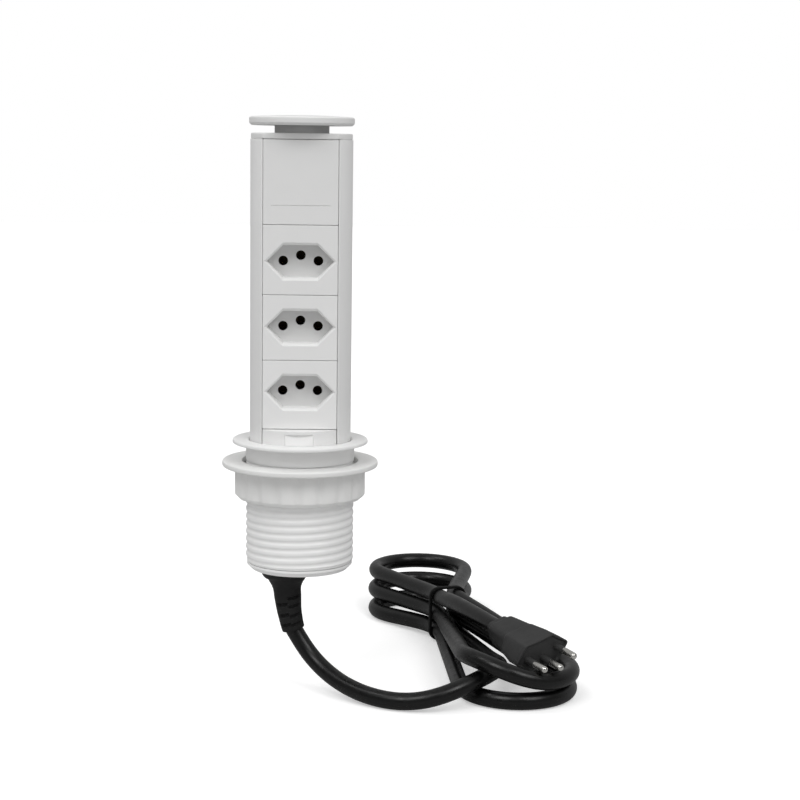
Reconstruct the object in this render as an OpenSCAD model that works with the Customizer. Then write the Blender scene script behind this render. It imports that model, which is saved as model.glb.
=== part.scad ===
// Pop up desk socket: a round tower with three earthed outlets slides up through a threaded
// collar, which a loose ring and a ribbed nut clamp to the desk. Millimetres, +Z up.
// The origin is on the tower's axis, in the plane of the flange's underside.

/* [Tower] */
// Outer diameter of the tower
tower_d = 55.6; // [52:0.2:66]
// Wall of the tower shell
shell_wall = 2.2; // [1.6:0.1:3]
// Width of the flat front panel on each side of an outlet's recess
panel_margin = 2.2; // [2:0.1:3.5]
// Height of the ledge under the panel, above the flange's underside
ledge_h = 9.6; // [9.4:0.1:14]
// Height of the blanking plate
blank_h = 45.5; // [30:0.5:70]
// Height of the band over the blanking plate
top_band_h = 3.2; // [2.4:0.1:6]
// Inset of the top band from the shell
top_band_inset = 0.3; // [0.2:0.1:1.2]
// Gap between neighbouring panel pieces
part_gap = 0.25; // [0.15:0.05:0.4]
// Side clearance of a piece that fits inside another
fit = 0.3; // [0.2:0.05:0.4]

/* [Cap] */
// How far the cap stands out over the tower
cap_overhang = 0.7; // [0.5:0.1:1]
// Height of the cap
cap_h = 5.5; // [4.5:0.1:8]
// Rise of the cap's domed top
cap_dome = 0.9; // [0.4:0.1:1.5]
// Bevel under the cap's rim, which seats in the collar's mouth
cap_bevel = 1.2; // [0.8:0.1:1.6]
// Diameter of the neck under the cap
neck_d = 29.6; // [20:0.2:40]
// Height of the finger gap under the cap
finger_gap = 4.2; // [3:0.1:8]
// Diameter of the screw that holds the cap
cap_screw_d = 4; // [3:0.5:6]

/* [Outlets] */
// Number of outlets
outlets = 3; // [1:1:4]
// Distance from one outlet to the next
outlet_pitch = 35.3; // [30:0.1:45]
// Height of the pin line above the lower edge of its module
pin_line_h = 18.1; // [15:0.1:20]
// Extra height of the lowest module below its parting line
foot_h = 2.3; // [0:0.1:8]
// Extra height of the highest module above its parting line
head_h = 2.2; // [0:0.1:8]
// Distance between the line and neutral pins
pin_spacing = 19; // [17:0.1:20]
// How far the earth hole lies above the pin line
earth_rise = 3; // [2:0.1:4]
// Diameter of the pin holes
pin_hole_d = 5.2; // [4.4:0.1:5.6]
// Width of the six-sided recess
recess_w = 36.2; // [33:0.1:37]
// Height of the six-sided recess
recess_h = 17.5; // [15:0.1:19]
// Depth of the recess
recess_depth = 9; // [7:0.1:12]
// Chamfer round the mouth of the recess
mouth_chamfer = 1.4; // [0.4:0.1:1.6]

/* [Contacts] */
// Depth of a socket base behind the recess
socket_base_depth = 18; // [14:0.5:20]
// Wall of the socket base in front of the contacts
pin_wall = 8; // [4:0.1:9]
// Outer diameter of a contact sleeve
sleeve_d = 6; // [5.6:0.1:6.6]
// Bore of a contact sleeve
sleeve_bore = 4.2; // [3.8:0.1:4.6]
// Width of a busbar
busbar_w = 6; // [4.5:0.1:7]
// Thickness of a busbar
busbar_t = 1; // [0.8:0.1:1.6]
// Height of the terminal block
terminal_h = 14; // [12:0.5:20]
// Depth of the terminal block in front of and behind the busbars
terminal_wall = 5; // [4:0.5:6]

/* [Desk collar] */
// Running clearance between tower and barrel
run_clear = 0.3; // [0.2:0.05:0.5]
// Wall of the barrel under the thread
barrel_wall = 1.1; // [0.9:0.1:2]
// Depth of the thread
thread_depth = 0.7; // [0.4:0.1:1]
// Pitch of the thread
thread_pitch = 4.25; // [3:0.05:6]
// Length of the barrel below the flange
barrel_len = 66.5; // [60:0.5:110]
// Smooth length of the barrel under the flange
smooth_len = 9.6; // [6:0.1:14]
// Width of the flange beyond the barrel
flange_lip = 7.4; // [5:0.1:12]
// Thickness of the flange
flange_t = 1.9; // [1.6:0.1:4]

/* [Clamp] */
// Desk thickness at which the clamp is shown
desk_t = 10; // [6:0.5:25]
// Radial play of the clamp ring round the barrel
clamp_play = 2.1; // [1:0.1:3]
// Radial width of the clamp ring
clamp_ring_w = 11; // [8:0.1:16]
// Thickness of the clamp ring
clamp_ring_t = 3; // [2:0.1:5]
// Height of the lock nut
nut_h = 17.4; // [12:0.1:22]
// Radial wall of the lock nut
nut_wall = 5.8; // [4:0.1:8]
// Number of finger ribs round the nut
nut_ribs = 19; // [12:1:24]
// Depth of the hollows between the ribs
rib_depth = 1.2; // [0.6:0.1:2]

/* [Tower foot] */
// Wall of the tower foot inside the shell
foot_wall = 1.8; // [1.4:0.1:3]
// Thickness of the foot's top plate
foot_plate_t = 1.6; // [1.2:0.1:1.7]
// Height of the end cap below the barrel
end_cap_h = 3.7; // [3:0.1:6]
// Width of the release button
button_w = 15.2; // [10:0.2:17]
// Height of the release button
button_h = 6; // [5:0.1:6.2]
// How far the button's face leans back
button_lean = 1.4; // [0.5:0.1:2]
// Diameter of the button's spring
spring_d = 5; // [4:0.1:6]
// Wire diameter of the button's spring
spring_wire = 0.6; // [0.4:0.1:0.8]

/* [Cord] */
// Diameter of the cord
cord_d = 9.6; // [7:0.1:9.8]
// Diameter of one insulated core
core_d = 2.6; // [2:0.1:2.8]
// Width of the flared top of the strain relief
boot_flare_d = 34; // [28:0.5:36]
// Diameter of the strain relief under its flare
boot_neck_d = 16.2; // [14:0.1:18]
// Diameter of the strain relief at its tip
boot_tip_d = 12.8; // [12:0.1:14]
// Depth of the strain relief's grooves
boot_groove = 1.2; // [0.6:0.1:1.6]

/* [Plug] */
// Width of the plug's front
plug_w = 35; // [30:0.5:36]
// Height of the plug's front
plug_h = 16.6; // [14:0.2:17]
// Length of the plug's body
plug_len = 44; // [36:1:54]
// Width of the plug's back end
plug_back_w = 17; // [14:0.5:24]
// Diameter of a plug pin
pin_d = 4; // [3.6:0.1:4.8]
// Length of a plug pin
pin_len = 19; // [17:0.5:22]

/* [Hidden] */
$fn = 64;

white = [0.93, 0.93, 0.93];
warm_white = [0.88, 0.88, 0.87];
black = [0.09, 0.09, 0.09];
brass = [0.80, 0.66, 0.32];
steel = [0.75, 0.76, 0.78];
eps = 0.01;

// Tower
tower_r = tower_d / 2;
panel_w = recess_w + 2 * panel_margin;
shell_r = tower_r - shell_wall;
front_y = -sqrt(tower_r * tower_r - panel_w * panel_w / 4);
blank_depth = recess_depth;
panel_side = panel_w / 2 - fit;

// Heights up the tower
pin_line_1 = ledge_h + foot_h + pin_line_h;
blank_z = ledge_h + foot_h + outlets * outlet_pitch + head_h;
band_z = blank_z + blank_h;
tower_top = band_z + top_band_h;
cap_z = tower_top + finger_gap;
function pin_line(i) = pin_line_1 + i * outlet_pitch;
function module_low(i) = i == 0 ? ledge_h : pin_line(i) - pin_line_h;
function module_high(i) = i == outlets - 1 ? blank_z : pin_line(i + 1) - pin_line_h;

// Cap
cap_r = tower_r + cap_overhang;
cap_edge = 1;
dome_rings = 6;
function dome_point(x) = [x * (cap_r - cap_edge), cap_h - cap_dome * x * x];
cap_screw_head = 2.5;
cap_screw_grip = 3;
spigot_h = 8;

// Contacts, from the recess floor back to the busbars
floor_y = front_y + recess_depth;
busbar_y = floor_y + socket_base_depth;
socket_base_side = sqrt(shell_r * shell_r - pow(max(abs(floor_y), abs(busbar_y)), 2)) - fit;
sleeve_y = floor_y + pin_wall + fit;
busbar_top = pin_line(outlets - 1) + earth_rise + busbar_w;

// Desk collar
bore_r = tower_r + run_clear;
root_r = bore_r + barrel_wall;
barrel_r = root_r + thread_depth;
crest_r = barrel_r - 0.1;
mouth_r = cap_r + run_clear + 0.2;
flange_r = barrel_r + flange_lip;
flange_edge = 0.6;
thread_end = 3;
thread_flank = 1.2;
thread_crest = 1.4;
thread_turns = floor((barrel_len - smooth_len - thread_end) / thread_pitch);

// Clamp
clamp_in_r = barrel_r + clamp_play;
clamp_out_r = clamp_in_r + clamp_ring_w;
clamp_edge = 0.6;
nut_gap = 0.3;
nut_top = -desk_t - clamp_ring_t - nut_gap;
nut_bore_r = barrel_r + run_clear;
nut_r = nut_bore_r + nut_wall;
nut_edge = 2;
hollow_r = 5;

// Tower foot
foot_in_r = shell_r - fit - foot_wall;
foot_end = -barrel_len - run_clear;
shell_low = flange_t - (mouth_r - bore_r) - 0.4;
plate_z = ledge_h - foot_plate_t;
button_z = flange_t - 0.15 + button_h / 2;
button_clear = 0.2;
button_stop_w = button_w + 3.4;
button_stop_t = 2;
button_stop_y = -sqrt(foot_in_r * foot_in_r - button_stop_w * button_stop_w / 4) + fit;
spring_len = 9;
spring_turns = 6;
post_y = button_stop_y + button_stop_t + spring_len;
post_t = 2;
end_cap_r = root_r;
spigot_wall = 2.6;
spigot_depth = 7;

// Terminal block and cores
terminal_side = pin_spacing / 2 + busbar_w / 2 + 3;
terminal_z = plate_z - terminal_h;
busbar_low = plate_z - 8;
screw_d = 3;
screw_head_d = 5;
screw_head = 1.8;
core_in = 2.5;

// Cord clamp, on the floor of the end cap
boot_x = -7.5;
saddle_z = foot_end + 1;
saddle_h = 9;
saddle_w = cord_d + 12.4;
saddle_t = 7;
clamp_gap = 0.6;
tail_top = saddle_z + saddle_h + 8;

// Strain relief: a flared top, then a bent and grooved taper
boot_points = [
    [boot_x, 0, foot_end - end_cap_h], [boot_x, 0, -73.4], [-7.2, 0, -76.2], [-7.1, 0, -79],
    [-6.9, 0, -82.5], [-6.7, 0, -85], [-6.6, 0, -86], [-6.5, 0, -87], [-6.3, 0, -89.4], [-6.2, 0, -90.4],
    [-6.1, 0, -91.4], [-5.8, 0, -93.8], [-5.7, 0, -94.8], [-5.5, 0, -95.8], [-5.1, 0, -98.2],
    [-4.9, 0, -99.2], [-4.7, 0, -100.2], [-4.1, 0, -103], [-3.2, 0, -106.2]
];
boot_grooves = [6, 9, 12, 15];
function boot_radius(i) =
    let (
        along = i / (len(boot_points) - 1),
        plain = boot_neck_d / 2 + (boot_tip_d - boot_neck_d) / 2 * along,
        flare = i < 5 ? (boot_flare_d - boot_neck_d) / 2 * pow(1 - i / 5, 2) : 0
    )
    plain + flare - (len(search(i, boot_grooves)) > 0 ? boot_groove : 0);

// Free cord, from the strain relief's tip over the floor and into the hank
floor_z = -140;
lie_z = floor_z + cord_d / 2;
free_points = [
    [-3.2, 0, -106.2], [1, -1.5, -113], [6.3, -4.9, -120], [14.2, -11, -126.8], [24.5, -21, -131.8],
    [36.5, -32.2, -134.3], [47.8, -39.6, -135.1], [58.3, -43.8, -134.9], [70, -45.6, -133.2], [82, -44.1, -129.9],
    [92.3, -39.2, -126.7], [101.2, -31.6, -124.9], [107.7, -21.5, -124.4], [111.8, -10, -125.3],
    [113.4, 4, -127.8], [113.2, 20, -131.3], [111, 38, -134.3], [107, 56, -135.2], [102, 74, -135.2],
    [97.9, 88, -134.8]
];

// Hank: loops of a lobe towards the viewer and a lobe away, drawn in at the tie
loop_rings = 24;
hank_first = 6;
hank_last = 66;
tie_at = [89, 100];
near_turn = -74;
far_turn = 103.5;
far_fan = 1.7;
near_reach = 146;
near_step = 3;
far_reach = 90;
far_step = 9;
near_r = 30.5;
far_r = 29.5;
strand_apart = cord_d + 1.2;
waist_r = 44;
layer_h = cord_d + 0.8;
tie_lift = 1.8;
hump_at = 45.9;
hump_rise = 3.4;
hump_fall = 2.8;

// Plug, lying on the hank, and the lead from the hank to its back
plug_at = [134.4, -26.5, -112.5];
plug_turn = -65;
plug_dip = 2.5;
plug_roll = 17;
plug_front_t = 9;
plug_tail = 5;
lead_points = [[90, 78.5, -110.2], [97.3, 57.7, -109.5], [105.3, 37.1, -109.6]];

// Tie
tie_t = 0.8;
tie_w = 4.4;
tie_clear = 1;

// Sweep of a round section along points, each ring square to the path, or to first and last at its ends
function unit(v) = v / norm(v);
function tangents(p, first, last) =
    [for (i = [0 : len(p) - 1])
        i == 0 && !is_undef(first) ? first
        : i == len(p) - 1 && !is_undef(last) ? last
        : unit(p[min(i + 1, len(p) - 1)] - p[max(i - 1, 0)])];
function carried(t, n, i = 0) =
    i == len(t) ? [] : let (m = unit(n - (n * t[i]) * t[i])) concat([m], carried(t, m, i + 1));
function ring_points(p, r, sides, side, first, last) =
    let (t = tangents(p, first, last), n = carried(t, side))
    [for (i = [0 : len(p) - 1]) let (b = cross(t[i], n[i])) for (k = [0 : sides - 1])
        p[i] + r[i] * (cos(360 * k / sides) * n[i] + sin(360 * k / sides) * b)];
function ring_faces(n, sides) = concat(
    [for (i = [0 : n - 2], k = [0 : sides - 1], half = [0, 1])
        let (a = i * sides + k, b = i * sides + (k + 1) % sides, c = b + sides, d = a + sides)
        half == 0 ? [a, c, b] : [a, d, c]],
    [for (k = [1 : sides - 2]) [0, k, k + 1]],
    [for (k = [1 : sides - 2]) let (e = (n - 1) * sides) [e, e + k + 1, e + k]]
);
module sweep(p, r, sides, side = [1, 0, 0], first = undef, last = undef) {
    polyhedron(ring_points(p, r, sides, side, first, last), ring_faces(len(p), sides));
}
function same(r, p) = [for (q = p) r];

// Smooth curve through points, with steps points on each stretch
function curve_at(a, b, c, d, t) =
    (2 * b + (c - a) * t + (2 * a - 5 * b + 4 * c - d) * t * t + (3 * b - a - 3 * c + d) * t * t * t) / 2;
function curve(p, steps) =
    let (n = len(p), e = concat([2 * p[0] - p[1]], p, [2 * p[n - 1] - p[n - 2]]))
    concat(
        [for (i = [1 : n - 1], j = [0 : steps - 1]) curve_at(e[i - 1], e[i], e[i + 1], e[i + 2], j / steps)],
        [p[n - 1]]
    );

// One lobe of a loop: place m runs from -6 at the tie round the end at 0 to 6 at the tie
function lobe_slope(reach, r) =
    let (c = reach - r, h = strand_apart / 2 + waist_r)
    asin((r + waist_r) / norm([c, h])) - atan2(h, c);
function lobe_arc(m, reach, r, slope) =
    [reach - r + r * cos(m / 3 * (90 + slope)), r * sin(m / 3 * (90 + slope))];
function lobe_waist(slope) =
    [waist_r * sin(slope), strand_apart / 2 + waist_r * (1 - cos(slope))];
function lobe_side(m, reach, r, slope) =
    m <= 3 ? lobe_arc(m, reach, r, slope)
    : m == 4 ? (lobe_arc(3, reach, r, slope) + lobe_waist(slope)) / 2
    : m == 5 ? lobe_waist(slope)
    : [0, strand_apart / 2];
function lobe(m, reach, r) =
    let (q = lobe_side(abs(m), reach, r, lobe_slope(reach, r))) [q[0], m < 0 ? -q[1] : q[1]];

// Height of the hank: a layer more after each near lobe, with a hump over the free cord
function eased(x) = let (y = min(1, max(0, x))) y * y * (3 - 2 * y);
function hank_z(i) =
    let (k = i % loop_rings, hump = min(1, abs(i - hump_at) / (i < hump_at ? hump_rise : hump_fall)))
    lie_z
    + layer_h * (floor(i / loop_rings) - 1 + (k <= 6 ? eased((k - 3) / 2.5) : 1))
    + layer_h * pow(cos(90 * hump), 2)
    + tie_lift * pow(sin(360 * i / loop_rings), 4);
function hank_point(i) =
    let (
        turn = i / loop_rings,
        k = i % loop_rings,
        near = k <= 6 || k >= 18,
        place = k <= 6 ? k : k >= 18 ? k - loop_rings : 12 - k,
        q = near ? lobe(place, near_reach + near_step * (turn - 1), near_r)
            : lobe(place, far_reach + far_step * (turn - 0.5), far_r),
        a = near ? near_turn : far_turn - far_fan * (turn - 0.5),
        side = near ? q[1] : -q[1]
    )
    [tie_at[0] + q[0] * cos(a) - side * sin(a), tie_at[1] + q[0] * sin(a) + side * cos(a), hank_z(i)];
plug_axis = [cos(plug_turn) * cos(plug_dip), sin(plug_turn) * cos(plug_dip), -sin(plug_dip)];
plug_back = plug_at - (plug_len + plug_tail) * plug_axis;
hank_points = concat(
    [for (i = [hank_first : hank_last]) hank_point(i)],
    lead_points,
    [plug_back - cord_d * plug_axis, plug_back]
);
free_path = curve(concat(free_points, [hank_points[0]]), 2);
boot_tip = unit([0.27, 0, -0.96]);
free_end = unit(hank_points[1] - free_points[len(free_points) - 1]);

// Least gap of the hank to itself, between rings at least five apart, and the cord's length
function stretch(p) = [for (i = [0 : len(p) - 2], t = [0, 0.25, 0.5, 0.75]) p[i] + t * (p[i + 1] - p[i])];
hank_fine = stretch(hank_points);
hank_gap = min([for (i = [0 : len(hank_fine) - 21], j = [i + 20 : len(hank_fine) - 1])
    norm(hank_fine[i] - hank_fine[j])]) - cord_d;
function path_len(p, i = 0) = i == len(p) - 1 ? 0 : norm(p[i + 1] - p[i]) + path_len(p, i + 1);
echo(least_gap_of_hank = hank_gap, cord_length = path_len(free_path) + path_len(hank_points));

module rounded(w, h, r) {
    square([w - 2 * r, h], center = true);
    square([w, h - 2 * r], center = true);
    for (x = [-1, 1], y = [-1, 1]) translate([x * (w / 2 - r), y * (h / 2 - r)]) circle(r);
}

// Six-sided outlet outline, with 45 degree corners at the pin line
module outlet_outline(grow = 0, w = recess_w, h = recess_h) {
    x = w / 2 + grow;
    z = h / 2 + grow;
    polygon([[x, 0], [x - z, z], [z - x, z], [-x, 0], [z - x, -z], [x - z, -z]]);
}
module facing_front(z, y, depth) {
    translate([0, y, z]) rotate([90, 0, 0]) translate([0, 0, -depth]) linear_extrude(depth) children();
}

module desk_collar() {
    thread = [for (i = [0 : thread_turns - 1], j = [0 : 3])
        let (z = -barrel_len + thread_end + i * thread_pitch)
        [j == 0 || j == 3 ? root_r : crest_r, z + [0, thread_flank, thread_flank + thread_crest,
            2 * thread_flank + thread_crest][j]]];
    color(white) rotate_extrude() polygon(concat(
        [[bore_r, -barrel_len], [root_r, -barrel_len]],
        thread,
        [[root_r, -smooth_len], [barrel_r, -smooth_len], [barrel_r, 0], [flange_r, 0],
         [flange_r, flange_t - flange_edge], [flange_r - flange_edge, flange_t], [mouth_r, flange_t],
         [bore_r, flange_t - (mouth_r - bore_r)]]
    ));
}

module clamp_ring() {
    color(warm_white) translate([0, 0, -desk_t - clamp_ring_t]) rotate_extrude() polygon([
        [clamp_in_r, 0], [clamp_out_r - clamp_edge, 0], [clamp_out_r, clamp_edge],
        [clamp_out_r, clamp_ring_t - clamp_edge], [clamp_out_r - clamp_edge, clamp_ring_t],
        [clamp_in_r, clamp_ring_t]
    ]);
}

module lock_nut() {
    color(warm_white) translate([0, 0, nut_top - nut_h]) intersection() {
        linear_extrude(nut_h) difference() {
            circle(nut_r);
            circle(nut_bore_r);
            for (i = [0 : nut_ribs - 1])
                rotate(i * 360 / nut_ribs) translate([0, -nut_r - hollow_r + rib_depth]) circle(hollow_r, $fn = 32);
        }
        rotate_extrude() polygon([
            [0, 0], [nut_r - nut_edge, 0], [nut_r + eps, nut_edge + eps], [nut_r + eps, nut_h], [0, nut_h]
        ]);
    }
}

module tower_shell() {
    color(white) translate([0, 0, shell_low]) linear_extrude(band_z - shell_low) difference() {
        circle(tower_r);
        circle(shell_r);
        translate([-panel_w / 2, -tower_r - 1]) square([panel_w, tower_r]);
    }
}

module top_block() {
    band_r = tower_r - top_band_inset;
    color(white) difference() {
        union() {
            intersection() {
                translate([0, 0, band_z]) rotate_extrude() polygon([
                    [0, 0], [band_r, 0], [band_r, top_band_h - cap_edge],
                    [band_r - cap_edge, top_band_h], [0, top_band_h]
                ]);
                translate([-tower_r, front_y, band_z]) cube([2 * tower_r, 2 * tower_r, top_band_h]);
            }
            translate([0, 0, band_z - spigot_h]) linear_extrude(spigot_h) intersection() {
                circle(shell_r - fit);
                translate([-tower_r, front_y + blank_depth + fit]) square(2 * tower_r);
            }
        }
        translate([0, 0, band_z - spigot_h - 1]) cylinder(h = spigot_h + top_band_h + 2, d = cap_screw_d + fit);
    }
}

module cap_neck() {
    color(white) translate([0, 0, tower_top]) difference() {
        cylinder(h = finger_gap, d = neck_d);
        translate([0, 0, -1]) cylinder(h = finger_gap + 2, d = cap_screw_d + fit);
    }
}

module top_cap() {
    color(white) translate([0, 0, cap_z]) difference() {
        rotate_extrude() polygon(concat(
            [[0, 0], [cap_r - cap_bevel, 0], [cap_r, cap_bevel], [cap_r, cap_h - cap_dome - cap_edge]],
            [for (i = [dome_rings : -1 : 0]) dome_point(i / dome_rings)]
        ));
        translate([0, 0, -1]) cylinder(h = cap_screw_grip + 1, d = cap_screw_d + fit);
    }
}

module cap_screw() {
    head_z = band_z - spigot_h;
    color(steel) {
        translate([0, 0, head_z - cap_screw_head]) cylinder(h = cap_screw_head, d = 2 * cap_screw_d);
        translate([0, 0, head_z - eps]) cylinder(h = cap_z + cap_screw_grip - head_z, d = cap_screw_d);
    }
}

module blank_plate() {
    wall = 2.2;
    ridge = [panel_w - 9, 0.4, 0.5];
    ridge_h = 10.2;
    color(white) translate([0, front_y, blank_z + part_gap]) difference() {
        translate([-panel_side, 0, 0]) cube([2 * panel_side, blank_depth, blank_h - 2 * part_gap]);
        translate([-panel_side + wall, wall, wall])
            cube([2 * (panel_side - wall), blank_depth, blank_h - 2 * part_gap - 2 * wall]);
        translate([-ridge[0] / 2, -eps, ridge_h]) cube(ridge + [0, eps, 0]);
    }
}

module socket_face(i) {
    low = module_low(i) + (i == 0 ? 0 : part_gap);
    color(white) difference() {
        translate([-panel_side, front_y, low]) cube([2 * panel_side, recess_depth, module_high(i) - low]);
        facing_front(pin_line(i), front_y - 1, recess_depth + 2) outlet_outline();
        hull() {
            facing_front(pin_line(i), front_y - eps, eps) outlet_outline(mouth_chamfer);
            facing_front(pin_line(i), front_y + mouth_chamfer, eps) outlet_outline();
        }
    }
}

module contact_places(i) {
    for (x = [-1, 0, 1])
        translate([x * pin_spacing / 2, 0, pin_line(i) + (x == 0 ? earth_rise : 0)]) rotate([-90, 0, 0]) children();
}

module socket_base(i) {
    low = module_low(i) + (i == 0 ? 0 : part_gap);
    color(warm_white) difference() {
        translate([-socket_base_side, floor_y, low])
            cube([2 * socket_base_side, socket_base_depth, module_high(i) - low]);
        contact_places(i) {
            translate([0, 0, floor_y - 1]) cylinder(h = pin_wall + 2, d = pin_hole_d);
        }
        contact_places(i) {
            translate([0, 0, floor_y + pin_wall]) cylinder(h = socket_base_depth, d = sleeve_d + 2 * fit);
        }
    }
}

// A busbar with one contact sleeve for each outlet, on pin row -1, 0 or 1
module busbar(row) {
    x = row * pin_spacing / 2;
    color(brass) difference() {
        union() {
            translate([x - busbar_w / 2, busbar_y, busbar_low]) cube([busbar_w, busbar_t, busbar_top - busbar_low]);
            for (i = [0 : outlets - 1])
                translate([x, sleeve_y, pin_line(i) + (row == 0 ? earth_rise : 0)]) rotate([-90, 0, 0])
                    cylinder(h = busbar_y - sleeve_y + eps, d = sleeve_d);
        }
        for (i = [0 : outlets - 1])
            translate([x, sleeve_y - 1, pin_line(i) + (row == 0 ? earth_rise : 0)]) rotate([-90, 0, 0])
                cylinder(h = busbar_y - sleeve_y + 1, d = sleeve_bore);
    }
}

// Section of the foot inside the shell, with its front standing out through the shell's opening
module foot_outline() {
    circle(shell_r - fit);
    intersection() {
        circle(tower_r);
        translate([-panel_side, -tower_r]) square([2 * panel_side, tower_r]);
    }
}

module tower_foot() {
    pocket = [button_w + 2 * button_clear, tower_r - foot_in_r + 2.5, button_h + 2 * button_clear];
    color(white) difference() {
        union() {
            difference() {
                union() {
                    translate([0, 0, foot_end]) cylinder(h = shell_low - foot_end, r = tower_r);
                    translate([0, 0, shell_low - eps]) linear_extrude(ledge_h - shell_low + eps) foot_outline();
                }
                translate([0, 0, foot_end - 1]) cylinder(h = plate_z - foot_end + 1, r = foot_in_r);
            }
            // Wall behind the button's spring, hanging from the top plate
            translate([-button_w / 2, post_y, button_z - button_h])
                cube([button_w, post_t, plate_z - button_z + button_h + eps]);
        }
        translate([-pocket[0] / 2, -tower_r - 1, button_z - pocket[2] / 2]) cube(pocket);
        translate([-terminal_side, busbar_y - 1, plate_z - 1])
            cube([2 * terminal_side, busbar_t + 2, foot_plate_t + 2]);
    }
}

module release_button() {
    low = button_z - button_h / 2;
    face_y = -tower_r + 0.05;
    color(white) {
        intersection() {
            translate([button_w / 2, 0, 0]) rotate([90, 0, -90]) linear_extrude(button_w) polygon([
                [-button_stop_y, low], [-face_y, low], [-face_y - button_lean, low + button_h],
                [-button_stop_y, low + button_h]
            ]);
            translate([0, 0, low]) cylinder(h = button_h, r = tower_r - 0.05);
        }
        translate([-button_stop_w / 2, button_stop_y - eps, low - 1])
            cube([button_stop_w, button_stop_t + eps, plate_z - fit - low + 1]);
    }
}

module button_spring() {
    start = post_y - spring_len + spring_wire;
    run = spring_len - 2 * spring_wire;
    r = (spring_d - spring_wire) / 2;
    rings = 8 * spring_turns;
    path = [for (i = [0 : rings])
        [r * cos(360 * i / 8), start + run * i / rings, button_z + r * sin(360 * i / 8)]];
    color(steel) sweep(path, same(spring_wire / 2, path), 6, [0, 1, 0]);
}

module end_cap() {
    lip = 1.2;
    color(white) difference() {
        union() {
            translate([0, 0, foot_end - end_cap_h]) rotate_extrude() polygon([
                [0, 0], [end_cap_r - end_cap_h + lip, 0], [end_cap_r, end_cap_h - lip], [end_cap_r, end_cap_h],
                [0, end_cap_h]
            ]);
            translate([0, 0, foot_end - eps]) difference() {
                cylinder(h = spigot_depth, r = foot_in_r - fit);
                translate([0, 0, saddle_z - foot_end]) cylinder(h = spigot_depth, r = foot_in_r - fit - spigot_wall);
            }
            translate([boot_x - saddle_w / 2, 0, saddle_z - eps]) cube([saddle_w, saddle_t, saddle_h]);
        }
        translate([boot_x, 0, foot_end - end_cap_h - 1]) cylinder(h = tail_top - foot_end, d = cord_d + 2 * fit);
        clamp_screw_places() cylinder(h = 2 * saddle_t, d = screw_d + fit, center = true);
    }
}

module clamp_screw_places() {
    for (side = [-1, 1])
        translate([boot_x + side * (cord_d / 2 + 3.4), 0, saddle_z + saddle_h / 2]) rotate([-90, 0, 0]) children();
}

module cord_clamp() {
    color(warm_white) difference() {
        translate([boot_x - saddle_w / 2, -saddle_t, saddle_z + fit])
            cube([saddle_w, saddle_t - clamp_gap, saddle_h - 2 * fit]);
        translate([boot_x, 0, saddle_z - 1]) cylinder(h = saddle_h + 2, d = cord_d + 2 * fit);
        clamp_screw_places() cylinder(h = 3 * saddle_t, d = screw_d + fit, center = true);
    }
}

module clamp_screws() {
    color(steel) clamp_screw_places() {
        translate([0, 0, -saddle_t - screw_head]) cylinder(h = screw_head, d = screw_head_d);
        translate([0, 0, -saddle_t - eps]) cylinder(h = saddle_t + 5, d = screw_d);
    }
}

module terminal_screw_places() {
    for (row = [-1, 0, 1])
        translate([row * pin_spacing / 2, busbar_y + busbar_t, busbar_low + 3]) rotate([-90, 0, 0]) children();
}

module terminal_block() {
    slot = [busbar_w + 2 * fit, busbar_t + 2 * fit];
    color(warm_white) difference() {
        translate([-terminal_side, busbar_y - terminal_wall, terminal_z])
            cube([2 * terminal_side, 2 * terminal_wall + busbar_t, terminal_h]);
        for (row = [-1, 0, 1]) {
            translate([row * pin_spacing / 2 - slot[0] / 2, busbar_y - fit, busbar_low - fit])
                cube([slot[0], slot[1], terminal_h]);
            translate([row * pin_spacing / 2, busbar_y, terminal_z - 1]) cylinder(h = core_in + 1, d = core_d + 2 * fit);
        }
        terminal_screw_places() cylinder(h = terminal_wall + 1, d = screw_d + fit);
    }
}

module terminal_screws() {
    color(steel) terminal_screw_places() {
        translate([0, 0, fit]) cylinder(h = terminal_wall - fit + eps, d = screw_d);
        translate([0, 0, terminal_wall]) cylinder(h = screw_head, d = screw_head_d);
    }
}

// An insulated core from the terminal block down to the end of the cord's sheath
module core(row, tint) {
    tail = tail_top + fit;
    x = row * pin_spacing / 2;
    end = [boot_x + row * 1.8, row == 0 ? 2.1 : -1, tail];
    rise = terminal_z - tail;
    path = curve([
        [x, busbar_y, terminal_z + core_in - fit], [x, busbar_y, terminal_z - 3],
        [x * 0.7 + end[0] * 0.3, busbar_y * 0.75 + end[1] * 0.25, tail + rise * 0.62],
        end + [0, 0, rise * 0.3], end + [0, 0, 3], end
    ], 3);
    color(tint) sweep(path, same(core_d / 2, path), 8);
}

module cord_tail() {
    boot_top = foot_end - end_cap_h;
    color(black) translate([boot_x, 0, boot_top]) cylinder(h = tail_top - boot_top, d = cord_d);
}

module cord_boot() {
    radii = [for (i = [0 : len(boot_points) - 1]) boot_radius(i)];
    color(black) sweep(boot_points, radii, 16, first = [0, 0, -1], last = boot_tip);
}

module cord_free() {
    color(black) sweep(free_path, same(cord_d / 2, free_path), 10, first = boot_tip, last = free_end);
}

module cord_hank() {
    color(black) sweep(hank_points, same(cord_d / 2, hank_points), 6, [0, 0, 1], free_end, plug_axis);
}

module cord_tie() {
    w = strand_apart + cord_d + 2 * tie_clear;
    h = 2 * layer_h + cord_d + 2 * tie_clear;
    corner = cord_d / 2 + tie_clear;
    color(black) translate([tie_at[0], tie_at[1], lie_z + tie_lift + layer_h]) rotate([0, 0, near_turn])
        rotate([90, 0, 90]) linear_extrude(tie_w, center = true) difference() {
            rounded(w + 2 * tie_t, h + 2 * tie_t, corner + tie_t);
            rounded(w, h, corner);
        }
}

module at_plug() {
    translate(plug_at) rotate([0, 0, plug_turn]) rotate([0, 90 + plug_dip, 0]) rotate([0, 0, plug_roll + 90]) children();
}

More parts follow.
